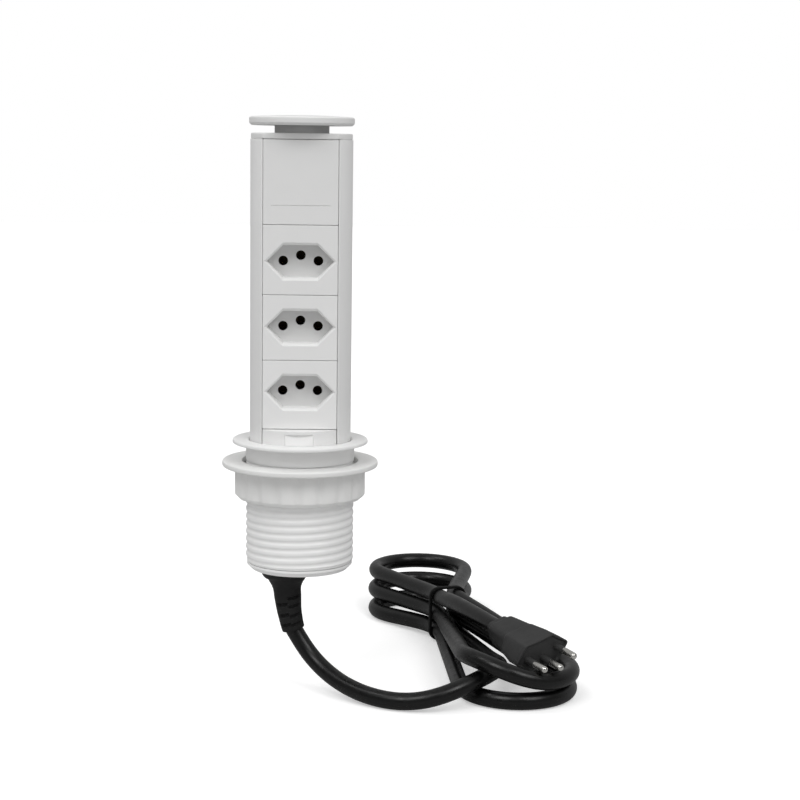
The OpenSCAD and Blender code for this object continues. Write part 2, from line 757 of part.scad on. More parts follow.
module plug_body() {
    back_h = plug_back_w * 0.82;
    color(black) at_plug() {
        translate([0, 0, -plug_front_t]) linear_extrude(plug_front_t) outlet_outline(0, plug_w, plug_h);
        hull() {
            translate([0, 0, -plug_front_t - eps]) linear_extrude(2 * eps) outlet_outline(0, plug_w, plug_h);
            translate([0, 0, -plug_len]) linear_extrude(eps) rounded(plug_back_w, back_h, 3, $fn = 32);
        }
        translate([0, 0, -plug_len - plug_tail]) linear_extrude(plug_tail + eps) rounded(plug_back_w - 3, back_h - 2, 3);
    }
}

module plug_pins() {
    color(steel) at_plug() for (x = [-1, 0, 1])
        translate([x * pin_spacing / 2, x == 0 ? -earth_rise : 0, 0]) {
            cylinder(h = pin_len - pin_d / 2, d = pin_d);
            translate([0, 0, pin_len - pin_d / 2]) sphere(d = pin_d);
        }
}

desk_collar();
clamp_ring();
lock_nut();
tower_shell();
top_block();
cap_neck();
top_cap();
cap_screw();
blank_plate();
socket_face(0);  // socket_face_1
socket_face(1);  // socket_face_2
socket_face(2);  // socket_face_3
socket_base(0);  // socket_base_1
socket_base(1);  // socket_base_2
socket_base(2);  // socket_base_3
busbar(-1);  // busbar_line
busbar(0);  // busbar_earth
busbar(1);  // busbar_neutral
tower_foot();
release_button();
button_spring();
end_cap();
terminal_block();
terminal_screws();
core(-1, "saddlebrown");  // core_line
core(0, "green");  // core_earth
core(1, "steelblue");  // core_neutral
cord_tail();
cord_clamp();
clamp_screws();
cord_boot();
cord_free();
cord_hank();
cord_tie();
plug_body();
plug_pins();
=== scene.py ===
"""Looks of the pop up desk socket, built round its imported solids. Points below are in millimetres."""
import math

import bpy
from mathutils import Matrix, Vector


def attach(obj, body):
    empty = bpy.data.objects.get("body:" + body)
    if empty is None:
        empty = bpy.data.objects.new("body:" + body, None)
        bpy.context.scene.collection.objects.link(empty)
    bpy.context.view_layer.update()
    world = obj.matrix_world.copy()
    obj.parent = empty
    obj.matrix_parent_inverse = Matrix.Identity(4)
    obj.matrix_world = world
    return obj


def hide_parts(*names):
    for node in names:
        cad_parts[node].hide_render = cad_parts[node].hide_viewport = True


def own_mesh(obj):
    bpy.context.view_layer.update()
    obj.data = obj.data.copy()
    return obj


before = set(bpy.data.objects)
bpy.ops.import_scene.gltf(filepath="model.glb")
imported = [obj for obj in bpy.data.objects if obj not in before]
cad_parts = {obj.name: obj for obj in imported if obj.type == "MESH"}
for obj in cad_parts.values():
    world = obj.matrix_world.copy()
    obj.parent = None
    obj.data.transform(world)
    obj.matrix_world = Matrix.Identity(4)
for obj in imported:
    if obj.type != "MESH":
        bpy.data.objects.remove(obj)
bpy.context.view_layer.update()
scene = bpy.context.scene
scene.view_settings.view_transform = "Standard"
MM = 0.001

# Sizes, nearly all as in the part's source
TOWER_R = 27.8
SHELL_R = 25.6
PANEL_W = 40.6
PANEL_SIDE = 20.1
FRONT_Y = -math.sqrt(TOWER_R ** 2 - (PANEL_W / 2) ** 2)
RECESS = 9.0
SHELL_LOW = 0.6
BLANK_Z = 120.0
BAND_Z = 165.5
TOWER_TOP = 168.7
CAP_Z = 172.9
CAP_R = 28.5
CAP_H = 5.5
CAP_CHAMFER = 1.2
CAP_RIM_H = 4.1
CAP_DOME = 0.9
SPIGOT_H = 8.0
GROOVE_RISE = 10.2
GROOVE_W = PANEL_W - 9
GROOVE_H = 0.5
PIN_LINES = (30.0, 65.3, 100.6)
FACE_ENDS = ((9.95, 47.2), (47.45, 82.5), (82.75, 120.0))
OUTLET_W = 36.2
OUTLET_H = 17.5
PART_GAP = 0.25
FIT = 0.3
BORE_R = 28.1
ROOT_R = 29.2
BARREL_R = 29.9
CREST_R = 29.8
CREST_Z = -61.6
MOUTH_R = 29.0
FLANGE_R = 37.3
FLANGE_T = 1.9
BARREL_LEN = 66.5
SMOOTH_LEN = 9.6
THREAD_PITCH = 4.25
CREST_HALF = 0.55
CREST_FLANK = 1.25
THREAD_END = 0.3
THREAD_TOP_FADE = 1.5
THREAD_END_FADE = 1.6
NUT_BORE_R = 30.2
NUT_R = 36.0
NUT_LOW = -30.7
NUT_HIGH = -13.3
NUT_CHAMFER = 2.0
NUT_RIBS = 19
NUT_HOLLOW = 1.2
NUT_HOLLOW_SHARE = 0.30
RING_BORE_R = 32.0
RING_R = 43.0
RING_LOW = -13.0
RING_HIGH = -10.0
FLOOR_Z = -140.0
CORD_D = 9.6
PIN_SPACING = 19.0
EARTH_RISE = 3.0
PIN_R = 2.0
PIN_LEN = 19.0
SLEEVE_IN_R = 1.9
SLEEVE_LEN = 7.9
BUTTON_Z = 4.75
BUTTON_W = 15.2
BUTTON_H = 6.0
BUTTON_LEAN = 1.4
BUTTON_FILL = 0.15
STOP_W = 18.6
STOP_T = 2.0
STOP_LOW = 0.75
STOP_HIGH = 7.7
SPRING_SEAT_Y = -10.28
SPRING_LEN = 9.0
SPRING_R = 2.2
SPRING_WIRE = 0.6
SPRING_TURNS = 6

# Points round each piece
TOWER_STEPS = 96
SPIGOT_STEPS = 64
BARREL_SIDES = 160
NUT_SIDES = 14 * NUT_RIBS
ROUND_SIDES = 144
BOOT_SIDES = 96
CORD_SIDES = 24
PLUG_SIDES = 120
PIN_SIDES = 40
WIRE_SIDES = 10


# Camera

CAMERA_AT = (24.6, -984.47, 161.14)
CAMERA_PITCH = 7.942
CAMERA_AZIMUTH = 1.764
CAMERA_ROLL = 0.775
CAMERA_LENS = 81


def make_camera():
    """Camera placed as the photograph's."""
    pitch, azimuth, roll = (math.radians(a) for a in (CAMERA_PITCH, CAMERA_AZIMUTH, CAMERA_ROLL))
    forward = Vector((
        math.sin(azimuth) * math.cos(pitch),
        math.cos(azimuth) * math.cos(pitch),
        -math.sin(pitch),
    ))
    right = Vector((math.cos(azimuth), -math.sin(azimuth), 0))
    up = right.cross(forward)
    across = right * math.cos(roll) + up * math.sin(roll)
    upward = up * math.cos(roll) - right * math.sin(roll)
    place = Matrix((across, upward, -forward)).transposed().to_4x4()
    place.translation = Vector(CAMERA_AT) * MM
    data = bpy.data.cameras.new("camera")
    data.lens = CAMERA_LENS
    data.sensor_width = 36
    data.clip_start = 0.01
    data.clip_end = 20
    camera = bpy.data.objects.new("camera", data)
    scene.collection.objects.link(camera)
    camera.matrix_world = place
    scene.camera = camera


# Materials

def ranged(tree, source, low, high, start, end, smooth=False):
    """Value that goes from low to high while source goes from start to end."""
    node = tree.nodes.new("ShaderNodeMapRange")
    if smooth:
        node.interpolation_type = "SMOOTHSTEP"
    node.inputs["From Min"].default_value = start
    node.inputs["From Max"].default_value = end
    node.inputs["To Min"].default_value = low
    node.inputs["To Max"].default_value = high
    tree.links.new(source, node.inputs["Value"])
    return node.outputs["Result"]


def split(tree, source):
    """The X, Y and Z outputs of a vector."""
    node = tree.nodes.new("ShaderNodeSeparateXYZ")
    tree.links.new(source, node.inputs["Vector"])
    return node.outputs


class Nodes:
    """A material's node tree, with short calls for the nodes used here."""

    def __init__(self, name):
        self.material = bpy.data.materials.new(name)
        self.material.use_nodes = True
        self.tree = self.material.node_tree
        self.shader = self.tree.nodes["Principled BSDF"]
        self.place = self.add("ShaderNodeTexCoord")
        self.coords = self.place.outputs["Object"]

    def add(self, kind):
        return self.tree.nodes.new(kind)

    def link(self, source, target):
        self.tree.links.new(source, target)

    def set(self, **values):
        for key, value in values.items():
            self.shader.inputs[key.replace("_", " ")].default_value = value

    def noise(self, scale, detail=3.0, roughness=0.5, stretch=None):
        node = self.add("ShaderNodeTexNoise")
        node.inputs["Scale"].default_value = scale
        node.inputs["Detail"].default_value = detail
        node.inputs["Roughness"].default_value = roughness
        place = self.coords
        if stretch:
            mapping = self.add("ShaderNodeMapping")
            mapping.inputs["Scale"].default_value = stretch
            self.link(self.coords, mapping.inputs["Vector"])
            place = mapping.outputs["Vector"]
        self.link(place, node.inputs["Vector"])
        return node.outputs["Fac"]

    def ramp(self, source, low, high, start=0.3, end=0.7):
        node = self.add("ShaderNodeValToRGB")
        node.color_ramp.elements[0].position = start
        node.color_ramp.elements[1].position = end
        node.color_ramp.elements[0].color = (*low, 1)
        node.color_ramp.elements[1].color = (*high, 1)
        self.link(source, node.inputs["Fac"])
        return node.outputs["Color"]

    def span(self, source, low, high, start=0.3, end=0.7):
        return ranged(self.tree, source, low, high, start, end)

    def bump(self, height, distance, strength=1.0, below=None):
        node = self.add("ShaderNodeBump")
        node.inputs["Distance"].default_value = distance
        node.inputs["Strength"].default_value = strength
        self.link(height, node.inputs["Height"])
        if below:
            self.link(below, node.inputs["Normal"])
        return node.outputs["Normal"]


GRAIN = 0.00003
GRAIN_SCALE = 2600
CLOUD_SCALE = 45
GLOSS_SCALE = 160
WAVE_SCALE = 60
# Painted shade inside the pin holes; HOLE_SKIN is the depth over which the recess floor's colour turns
# to it.
PAINTED_HOLE_SHADE = (0.004, 0.004, 0.004)
HOLE_SKIN = 0.0006


def tinted(colour, factor):
    return tuple(min(1.0, c * factor) for c in colour)


def moulded(name, colour, roughness, mottle=0.02, specular=0.5):
    """Moulded plastic or rubber: faint clouding, a fine eroded grain and uneven gloss."""
    n = Nodes(name)
    clouds = n.ramp(n.noise(CLOUD_SCALE, 4), tinted(colour, 1 - mottle), tinted(colour, 1 + mottle))
    n.link(clouds, n.shader.inputs["Base Color"])
    gloss = n.span(n.noise(GLOSS_SCALE, 3), roughness - 0.05, roughness + 0.05)
    n.link(gloss, n.shader.inputs["Roughness"])
    waves = n.bump(n.noise(WAVE_SCALE, 2), 0.0002, 0.25)
    n.link(n.bump(n.noise(GRAIN_SCALE, 2), GRAIN, 1.0, waves), n.shader.inputs["Normal"])
    n.set(Specular_IOR_Level=specular)
    return n.material


def outlet_floor(name, colour, skin_y):
    """Recess floor in the given colour, with painted shade inside its pin holes: near black past a thin
    skin of the floor colour.
    """
    n = Nodes(name)
    # Painted shade: near black past the floor's front face, inside the pin holes.
    inside = n.span(split(n.tree, n.coords)["Y"], 0, 1, skin_y, skin_y + HOLE_SKIN)
    n.link(n.ramp(inside, colour, PAINTED_HOLE_SHADE, 0.0, 1.0), n.shader.inputs["Base Color"])
    n.link(n.span(n.noise(GLOSS_SCALE, 3), 0.38, 0.48), n.shader.inputs["Roughness"])
    n.link(n.bump(n.noise(GRAIN_SCALE, 2), GRAIN), n.shader.inputs["Normal"])
    return n.material


def metal(name, colour, roughness, stretch, painted_shade=None):
    """Drawn or stamped metal: fine lines along one direction, and uneven tarnish.
    The last argument, where given, is painted shade: the colour of the faces that look towards the pin
    holes."""
    n = Nodes(name)
    tint = n.ramp(n.noise(120, 4), tinted(colour, 0.94), tinted(colour, 1.06))
    # Painted shade on the faces that look towards the pin holes.
    if painted_shade:
        facing = n.span(split(n.tree, n.place.outputs["Normal"])["Y"], 0, 1, -0.4, -0.9)
        mix = n.add("ShaderNodeMix")
        mix.data_type = "RGBA"
        n.link(facing, mix.inputs["Factor"])
        n.link(tint, mix.inputs[6])
        mix.inputs[7].default_value = (*painted_shade, 1)
        tint = mix.outputs[2]
    n.link(tint, n.shader.inputs["Base Color"])
    lines = n.noise(900, 3, stretch=stretch)
    n.link(n.span(lines, roughness * 0.75, roughness * 1.35), n.shader.inputs["Roughness"])
    n.link(n.bump(lines, 0.00002, 0.5), n.shader.inputs["Normal"])
    n.set(Metallic=1.0)
    return n.material


def sheath(name, colour, roughness, specular):
    """Extruded cord sheath: cloudy bloom, fine grain and slight unevenness along its length."""
    n = Nodes(name)
    bloom = n.noise(70, 5, 0.6)
    n.link(n.ramp(bloom, tinted(colour, 0.8), tinted(colour, 1.3)), n.shader.inputs["Base Color"])
    n.link(n.span(n.noise(240, 3), roughness - 0.07, roughness + 0.07), n.shader.inputs["Roughness"])
    uneven = n.bump(n.noise(110, 2), 0.0004, 0.16)
    n.link(n.bump(n.noise(2200, 2), GRAIN, 0.4, uneven), n.shader.inputs["Normal"])
    n.set(Specular_IOR_Level=specular)
    return n.material


# Meshes

SHARP_ANGLE = 35


def piece(name, part, material, body, nodes):
    """Object from a (verts, faces) pair, riding on a body in place of its nodes."""
    verts, faces = part
    mesh = bpy.data.meshes.new(name)
    mesh.from_pydata([Vector(v) * MM for v in verts], [], faces)
    mesh.validate()
    mesh.polygons.foreach_set("use_smooth", [True] * len(mesh.polygons))
    mesh.set_sharp_from_angle(angle=math.radians(SHARP_ANGLE))
    mesh.materials.append(material)
    made = bpy.data.objects.new(name, mesh)
    scene.collection.objects.link(made)
    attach(made, body)
    if nodes:
        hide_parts(*nodes)
    return made


def joined(*parts):
    """One (verts, faces) pair from several."""
    verts, faces = [], []
    for v, f in parts:
        start = len(verts)
        verts += v
        faces += [[start + i for i in face] for face in f]
    return verts, faces


def placed(part, place):
    return [place @ Vector(v) for v in part[0]], part[1]


def stack(loops, start_cap=True, end_cap=True, ring=False):
    """Skin over closed loops of equal length; the last loop joins the first where ring is true."""
    n = len(loops[0])
    verts = [p for loop in loops for p in loop]
    faces = []
    for i in range(len(loops) if ring else len(loops) - 1):
        a, b = i * n, (i + 1) % len(loops) * n
        for k in range(n):
            m = (k + 1) % n
            faces.append([a + k, a + m, b + m, b + k])
    if start_cap and not ring:
        faces.append(list(range(n))[::-1])
    if end_cap and not ring:
        faces.append([(len(loops) - 1) * n + k for k in range(n)])
    return verts, faces


def turned(profile, sides, shape=None, ring=True):
    """Solid of revolution about Z of (radius, height) points, listed from the inside bottom outwards.
    Where ring is false, the first and the last point lie on the axis."""
    loops = []
    for r, z in profile:
        loop = []
        for k in range(sides):
            a = 2 * math.pi * k / sides
            q = shape(r, z, a) if shape else r
            loop.append((q * math.cos(a), q * math.sin(a), z))
        loops.append(loop)
    if ring:
        return stack(loops, ring=True)
    verts, faces = stack(loops[1:-1], start_cap=False, end_cap=False)
    n = len(verts)
    for k in range(sides):
        m = (k + 1) % sides
        faces += [[n, m, k], [n + 1, n - sides + k, n - sides + m]]
    return verts + [(0, 0, profile[0][1]), (0, 0, profile[-1][1])], faces


def rounded(points, radius, steps=5, closed=True):
    """The same outline with its corners rounded; radius is one number, or one for each point."""
    n = len(points)
    radii = radius if isinstance(radius, (list, tuple)) else [radius] * n
    result = []
    for i, p in enumerate(points):
        if radii[i] <= 0 or (not closed and i in (0, n - 1)):
            result.append(tuple(p))
            continue
        p = Vector(p)
        before = Vector(points[i - 1]) - p
        after = Vector(points[(i + 1) % n]) - p
        a, b = before.normalized(), after.normalized()
        half = a.angle(b) / 2
        reach = min(radii[i] / math.tan(half), before.length * 0.49, after.length * 0.49)
        r = reach * math.tan(half)
        centre = p + (a + b).normalized() * (r / math.sin(half))
        first, last = p + a * reach - centre, p + b * reach - centre
        sweep = first.angle_signed(last)
        for k in range(steps + 1):
            t = -sweep * k / steps
            c, s = math.cos(t), math.sin(t)
            x, y = first.x * c - first.y * s, first.x * s + first.y * c
            result.append((centre.x + x, centre.y + y))
    return result


def box(w, h):
    """Rectangle about the middle."""
    return [(-w / 2, -h / 2), (w / 2, -h / 2), (w / 2, h / 2), (-w / 2, h / 2)]


def inset(points, by):
    """A closed counterclockwise outline moved in by a distance, or out where that is negative."""
    result = []
    n = len(points)
    for i, p in enumerate(points):
        p = Vector(p)
        a = (p - Vector(points[i - 1])).normalized()
        b = (Vector(points[(i + 1) % n]) - p).normalized()
        normal = Vector((-a.y - b.y, a.x + b.x)).normalized()
        stretch = max(0.35, normal.dot(Vector((-a.y, a.x))))
        result.append(tuple(p + normal * (by / stretch)))
    return result


def dense(points, gap):
    """A closed outline with points added along its edges, a distance apart or a count for each edge."""
    result = []
    for i, (a, b) in enumerate(zip(points, points[1:] + points[:1])):
        count = gap[i] if isinstance(gap, list) else max(1, round(math.dist(a, b) / gap))
        result += [tuple(Vector(a).lerp(Vector(b), k / count)) for k in range(count)]
    return result


def edge_steps(fillet, steps):
    """(inset, depth) pairs that round an edge over, from the flat end to the full section."""
    quarter = [math.pi / 2 * k / steps for k in range(steps + 1)]
    return [(fillet * (1 - math.sin(a)), fillet * (1 - math.cos(a))) for a in quarter]


def prism(outline, low, high, fillet, steps):
    """Outline extruded upwards, with rounded end edges."""
    ends = edge_steps(fillet, steps)
    loops = [[(u, v, low + d) for u, v in inset(outline, i)] for i, d in ends]
    loops += [[(u, v, high - d) for u, v in inset(outline, i)] for i, d in ends[::-1]]
    return stack(loops)


def zipped(outer, inner):
    """Faces between two loops in one plane y, each seen round the inner one's middle."""
    x = sum(p[0] for p in inner) / len(inner)
    z = sum(p[2] for p in inner) / len(inner)

    def ordered(loop):
        return sorted((math.atan2(p[2] - z, p[0] - x), tuple(p)) for p in loop)

    a, b = ordered(outer), ordered(inner)
    n, m = len(a), len(b)
    verts = [p for _, p in a + b]
    faces, i, j = [], 0, 0
    while i < n or j < m:
        next_a = a[(i + 1) % n][0] + (2 * math.pi if i + 1 >= n else 0)
        next_b = b[(j + 1) % m][0] + (2 * math.pi if j + 1 >= m else 0)
        if j >= m or (i < n and next_a <= next_b):
            faces.append([i % n, (i + 1) % n, n + j % m])
            i += 1
        else:
            faces.append([i % n, n + (j + 1) % m, n + j % m])
            j += 1
    return verts, faces


def along_path(points, radius, sides, side=Vector((1, 0, 0)), first=None, last=None):
    """Tube along points. radius(i, angle) gives its radius at ring i."""
    points = [Vector(p) for p in points]
    n = len(points)
    loops = []
    for i, p in enumerate(points):
        tangent = (points[min(i + 1, n - 1)] - points[max(i - 1, 0)]).normalized()
        if i == 0 and first:
            tangent = first
        if i == n - 1 and last:
            tangent = last
        side = (side - tangent * side.dot(tangent)).normalized()
        across = tangent.cross(side)
        loop = []
        for k in range(sides):
            a = 2 * math.pi * k / sides
            loop.append(p + (side * math.cos(a) + across * math.sin(a)) * radius(i, a))
        loops.append(loop)
    return stack(loops)


def curve_through(points, steps):
    """Smooth curve through points, with steps points on each stretch."""
    points = [Vector(p) for p in points]
    ends = [2 * points[0] - points[1]] + points + [2 * points[-1] - points[-2]]
    result = []
    for i in range(1, len(points)):
        a, b, c, d = ends[i - 1:i + 3]
        for j in range(steps):
            t = j / steps
            result.append((2 * b + (c - a) * t + (2 * a - 5 * b + 4 * c - d) * t ** 2
                           + (3 * b - a - 3 * c + d) * t ** 3) / 2)
    return result + [points[-1]]


def even(points, gap):
    """The same line as points a fixed distance apart."""
    total = sum((b - a).length for a, b in zip(points, points[1:]))
    count = round(total / gap)
    want, result, done = total / count, [points[0]], 0.0
    for a, b in zip(points, points[1:]):
        length = (b - a).length
        while len(result) < count and done + length >= want * len(result):
            result.append(a + (b - a) * ((want * len(result) - done) / length))
        done += length
    return result + [points[-1]]


def smoothed(points, rounds):
    """The same line with its bends evened out, and its ends kept."""
    for _ in range(rounds):
        inner = [(a + 2 * b + c) / 4 for a, b, c in zip(points, points[1:], points[2:])]
        points = [points[0]] + inner + [points[-1]]
    return points


# Cord

TIE_AT = (89.0, 100.0)
NEAR_TURN = -74.0
STRAND_APART = CORD_D + 1.2
WAIST_R = 44.0
LAYER_H = CORD_D + 0.8
LIE_Z = FLOOR_Z + CORD_D / 2
TIE_LIFT = 1.8
LOOP_RINGS = 24
QUARTER = LOOP_RINGS // 4
HANK_TURNS = 2.5
ARC_END = 3
WAIST_START = 5
NEAR_REACH = 146.0
NEAR_STEP = 3.0
NEAR_R = 30.5
FAR_REACH = 90.0
FAR_STEP = 9.0
FAR_R = 29.5
FAR_TURN = 103.5
FAR_FAN = 1.7
CLIMB_START = 3
CLIMB_LEN = 2.5
# The second near loop rises by a layer round this ring, over the free stretch
CROSS_AT = 45.9
CROSS_BEFORE = 3.4
CROSS_AFTER = 2.8
CURVE_STEPS = 8
PATH_GAP = 1.5
PATH_ROUNDS = 24
FREE_POINTS = [
    (-3.2, 0, -106.2), (1, -1.5, -113), (6.3, -4.9, -120), (14.2, -11, -126.8), (24.5, -21, -131.8),
    (36.5, -32.2, -134.3), (47.8, -39.6, -135.1), (58.3, -43.8, -134.9), (70, -45.6, -133.2),
    (82, -44.1, -129.9), (92.3, -39.2, -126.7), (101.2, -31.6, -124.9), (107.7, -21.5, -124.4),
    (111.8, -10, -125.3), (113.4, 4, -127.8), (113.2, 20, -131.3), (111, 38, -134.3), (107, 56, -135.2),
    (102, 74, -135.2), (97.9, 88, -134.8),
]
LEAD_POINTS = [(90, 78.5, -110.2), (97.3, 57.7, -109.5), (105.3, 37.1, -109.6)]
PLUG_AT = Vector((134.4, -26.5, -112.5))
PLUG_TURN = -65.0
PLUG_DIP = 2.5
PLUG_ROLL = 17.0
PLUG_LEN = 44.0
PLUG_TAIL = 5.0
PLUG_PLACE = (Matrix.Translation(PLUG_AT) @ Matrix.Rotation(math.radians(PLUG_TURN), 4, "Z")
              @ Matrix.Rotation(math.radians(90 + PLUG_DIP), 4, "Y")
              @ Matrix.Rotation(math.radians(PLUG_ROLL + 90), 4, "Z"))
PLUG_AXIS = PLUG_PLACE.to_3x3() @ Vector((0, 0, 1))


def lobe(m, reach, r):
    """Point of one lobe of the hank. m runs from -QUARTER at the tie round the end at 0 to QUARTER."""
    c, h = reach - r, STRAND_APART / 2 + WAIST_R
    slope = math.asin((r + WAIST_R) / math.hypot(c, h)) - math.atan2(h, c)
    turn = min(abs(m), ARC_END) / ARC_END * (math.pi / 2 + slope)
    arc = Vector((reach - r + r * math.cos(turn), r * math.sin(turn)))
    bend = slope * min(1, QUARTER - abs(m))
    waist = Vector((WAIST_R * math.sin(bend), STRAND_APART / 2 + WAIST_R * (1 - math.cos(bend))))
    share = min(1, max(0, (abs(m) - ARC_END) / (WAIST_START - ARC_END)))
    q = arc.lerp(waist, share)
    return q.x, math.copysign(q.y, m)


def eased(x):
    """0 up to 0, 1 from 1 on, and smooth between."""
    y = min(1, max(0, x))
    return y * y * (3 - 2 * y)


def hank_point(i):
    """Point i of the hank, with LOOP_RINGS points to a turn. Each turn lies on the one before."""
    turn, k = i / LOOP_RINGS, i % LOOP_RINGS
    if k <= QUARTER or k >= 3 * QUARTER:
        place = k if k <= QUARTER else k - LOOP_RINGS
        x, side = lobe(place, NEAR_REACH + NEAR_STEP * (turn - 1), NEAR_R)
        a = math.radians(NEAR_TURN)
    else:
        x, side = lobe(2 * QUARTER - k, FAR_REACH + FAR_STEP * (turn - 0.5), FAR_R)
        side = -side
        a = math.radians(FAR_TURN - FAR_FAN * (turn - 0.5))
    hump = min(1, abs(i - CROSS_AT) / (CROSS_BEFORE if i < CROSS_AT else CROSS_AFTER))
    climb = eased((k - CLIMB_START) / CLIMB_LEN) if k <= QUARTER else 1
    z = LIE_Z + LAYER_H * (i // LOOP_RINGS - 1 + climb)
    z += LAYER_H * math.cos(math.pi / 2 * hump) ** 2
    z += TIE_LIFT * math.sin(2 * math.pi * i / LOOP_RINGS) ** 4
    return Vector((TIE_AT[0] + x * math.cos(a) - side * math.sin(a),
                   TIE_AT[1] + x * math.sin(a) + side * math.cos(a), z))


def cord_path():
    """Middle line of the cord, from the boot through the hank to the plug."""
    plug_back = PLUG_AT - (PLUG_LEN + PLUG_TAIL) * PLUG_AXIS
    count = round(CURVE_STEPS * HANK_TURNS * LOOP_RINGS)
    hank = [hank_point(QUARTER + i / CURVE_STEPS) for i in range(count + 1)]
    free = curve_through(FREE_POINTS + [hank[0]], CURVE_STEPS)
    lead = [hank[-1 - CURVE_STEPS], hank[-1]] + LEAD_POINTS
    lead += [plug_back - CORD_D * PLUG_AXIS, plug_back]
    lead = curve_through(lead, CURVE_STEPS)[CURVE_STEPS:]
    return smoothed(even(free + hank[1:] + lead[1:], PATH_GAP), PATH_ROUNDS)


# Outlets and panels

def hexagon(w, h, grow=0.0):
    """Six-sided outline with a corner at each side, as of an outlet or a plug's front."""
    x, z = w / 2 + grow, h / 2 + grow
    return [(x, 0), (x - z, z), (z - x, z), (-x, 0), (z - x, -z), (x - z, -z)]


def panel_outline(low, high):
    return [(-PANEL_SIDE, low), (PANEL_SIDE, low), (PANEL_SIDE, high), (-PANEL_SIDE, high)]


def socket_face(low, high, pin_z):
    """Front panel of one outlet, with a stepped six-sided opening."""
    outline = dense(rounded(panel_outline(low, high), 0.35, 2), 1.5)
    outer = [[(u, FRONT_Y + d, v) for u, v in inset(outline, i)] for i, d in edge_steps(0.3, 3)]
    outer.append([(u, FRONT_Y + RECESS, v) for u, v in outline])

    def mouth(grow, depth):
        points = rounded([(u, v + pin_z) for u, v in hexagon(OUTLET_W, OUTLET_H, grow)], 0.4, 3)
        return [(u, FRONT_Y + depth, v) for u, v in dense(points, counts)]

    base = rounded(hexagon(OUTLET_W, OUTLET_H), 0.4, 3)
    counts = [max(1, round(math.dist(a, b) / 1.5)) for a, b in zip(base, base[1:] + base[:1])]
    steps = [(1.5, 0), (1.38, 0.05), (1.25, 0.16), (0.2, 1.22), (0.07, 1.38), (0.0, 1.7), (0.0, RECESS)]
    inner = [mouth(g, d) for g, d in steps]
    return joined(
        stack(outer[::-1], start_cap=False, end_cap=False),
        zipped(outer[0], inner[0]),
        stack(inner, start_cap=False, end_cap=False),
        zipped(inner[-1], outer[-1]),
    )


def shell_outline():
    """Section of the tower's shell, open at the front."""
    a = math.asin(PANEL_W / 2 / TOWER_R)
    b = math.asin(PANEL_W / 2 / SHELL_R)
    count = TOWER_STEPS
    outer = [a + (2 * math.pi - 2 * a) * k / count for k in range(count + 1)]
    inner = [b + (2 * math.pi - 2 * b) * k / count for k in range(count + 1)]
    ring = [(TOWER_R * math.sin(t), -TOWER_R * math.cos(t)) for t in outer]
    ring += [(SHELL_R * math.sin(t), -SHELL_R * math.cos(t)) for t in inner[::-1]]
    radii = [0.0] * len(ring)
    for k in (0, count, count + 1, len(ring) - 1):
        radii[k] = 0.35
    return rounded(ring, radii, 3)


def thread(r, z, angle):
    """Radius of the barrel's helical thread. Only the outer wall below the smooth part is shaped."""
    if r < ROOT_R - 0.05 or z > -SMOOTH_LEN - 0.05:
        return r
    turn = (angle + math.pi / 2) / (2 * math.pi)
    phase = ((z - CREST_Z) / THREAD_PITCH - turn + 0.5) % 1 - 0.5
    ridge = 1 - eased((abs(phase) * THREAD_PITCH - CREST_HALF) / CREST_FLANK)
    fade = eased((-SMOOTH_LEN - z) / THREAD_TOP_FADE)
    fade *= eased((z + BARREL_LEN - THREAD_END) / THREAD_END_FADE)
    return r + (CREST_R - ROOT_R) * ridge * fade


def collar():
    """Flange, smooth neck and threaded barrel, in one."""
    step = 0.3
    count = int((BARREL_LEN - SMOOTH_LEN) / step)
    wall = [(ROOT_R, -BARREL_LEN + step * k) for k in range(2, count + 1)]
    inside = [(BORE_R, -0.2 * BARREL_LEN * k) for k in range(5, 0, -1)]
    mouth = [(BORE_R, -2), (BORE_R, 1.0), (MOUTH_R, FLANGE_T), (FLANGE_R, FLANGE_T), (FLANGE_R, 0),
             (BARREL_R, 0), (BARREL_R, -SMOOTH_LEN), (ROOT_R, -SMOOTH_LEN)]
    mouth = rounded(mouth, [0, 0.3, 0.45, 0.85, 0.35, 0.5, 0.3, 0], 4, closed=False)
    foot = rounded([(BORE_R, -BARREL_LEN), (ROOT_R, -BARREL_LEN), (ROOT_R, -BARREL_LEN + 1)],
                   [0, 0.3, 0], 3, closed=False)[1:-1]
    return turned((inside + mouth + wall[::-1] + foot[::-1])[::-1], BARREL_SIDES, thread)


def nut_shape(r, z, angle):
    """Radius of the nut with its finger hollows."""
    if r < NUT_R - 3.5:
        return r
    part = ((angle + math.pi / 2) * NUT_RIBS / (2 * math.pi) + 0.5) % 1 - 0.5
    hollow = 0.5 + 0.5 * math.cos(math.pi * min(1, abs(part) / NUT_HOLLOW_SHARE))
    return r - NUT_HOLLOW * hollow


def lock_nut():
    profile = [(NUT_BORE_R, NUT_LOW), (NUT_R - NUT_CHAMFER, NUT_LOW), (NUT_R, NUT_LOW + NUT_CHAMFER),
               (NUT_R, NUT_HIGH), (NUT_BORE_R, NUT_HIGH)]
    profile = rounded(profile, [0.5, 0.8, 0.9, 0.7, 0.4], 4)
    return turned(dense(profile, 3), NUT_SIDES, nut_shape)


def clamp_ring():
    profile = [(RING_BORE_R, RING_LOW), (RING_R, RING_LOW),
               (RING_R, RING_HIGH), (RING_BORE_R, RING_HIGH)]
    return turned(rounded(profile, [0.4, 0.9, 0.9, 0.4], 4), ROUND_SIDES)


def top_cap():
    dome = [(CAP_R - 1) * (1 - k / 12) for k in range(13)]
    dome = [(r, CAP_Z + CAP_H - CAP_DOME * (r / (CAP_R - 1)) ** 2) for r in dome]
    rim = [(0, CAP_Z), (CAP_R - CAP_CHAMFER, CAP_Z), (CAP_R, CAP_Z + CAP_CHAMFER),
           (CAP_R, CAP_Z + CAP_RIM_H), dome[0], dome[1]]
    rim = rounded(rim, [0, 0.3, 0.6, 0.9, 0.7, 0], 5, closed=False)
    return turned(rim + dome[2:], ROUND_SIDES, ring=False)


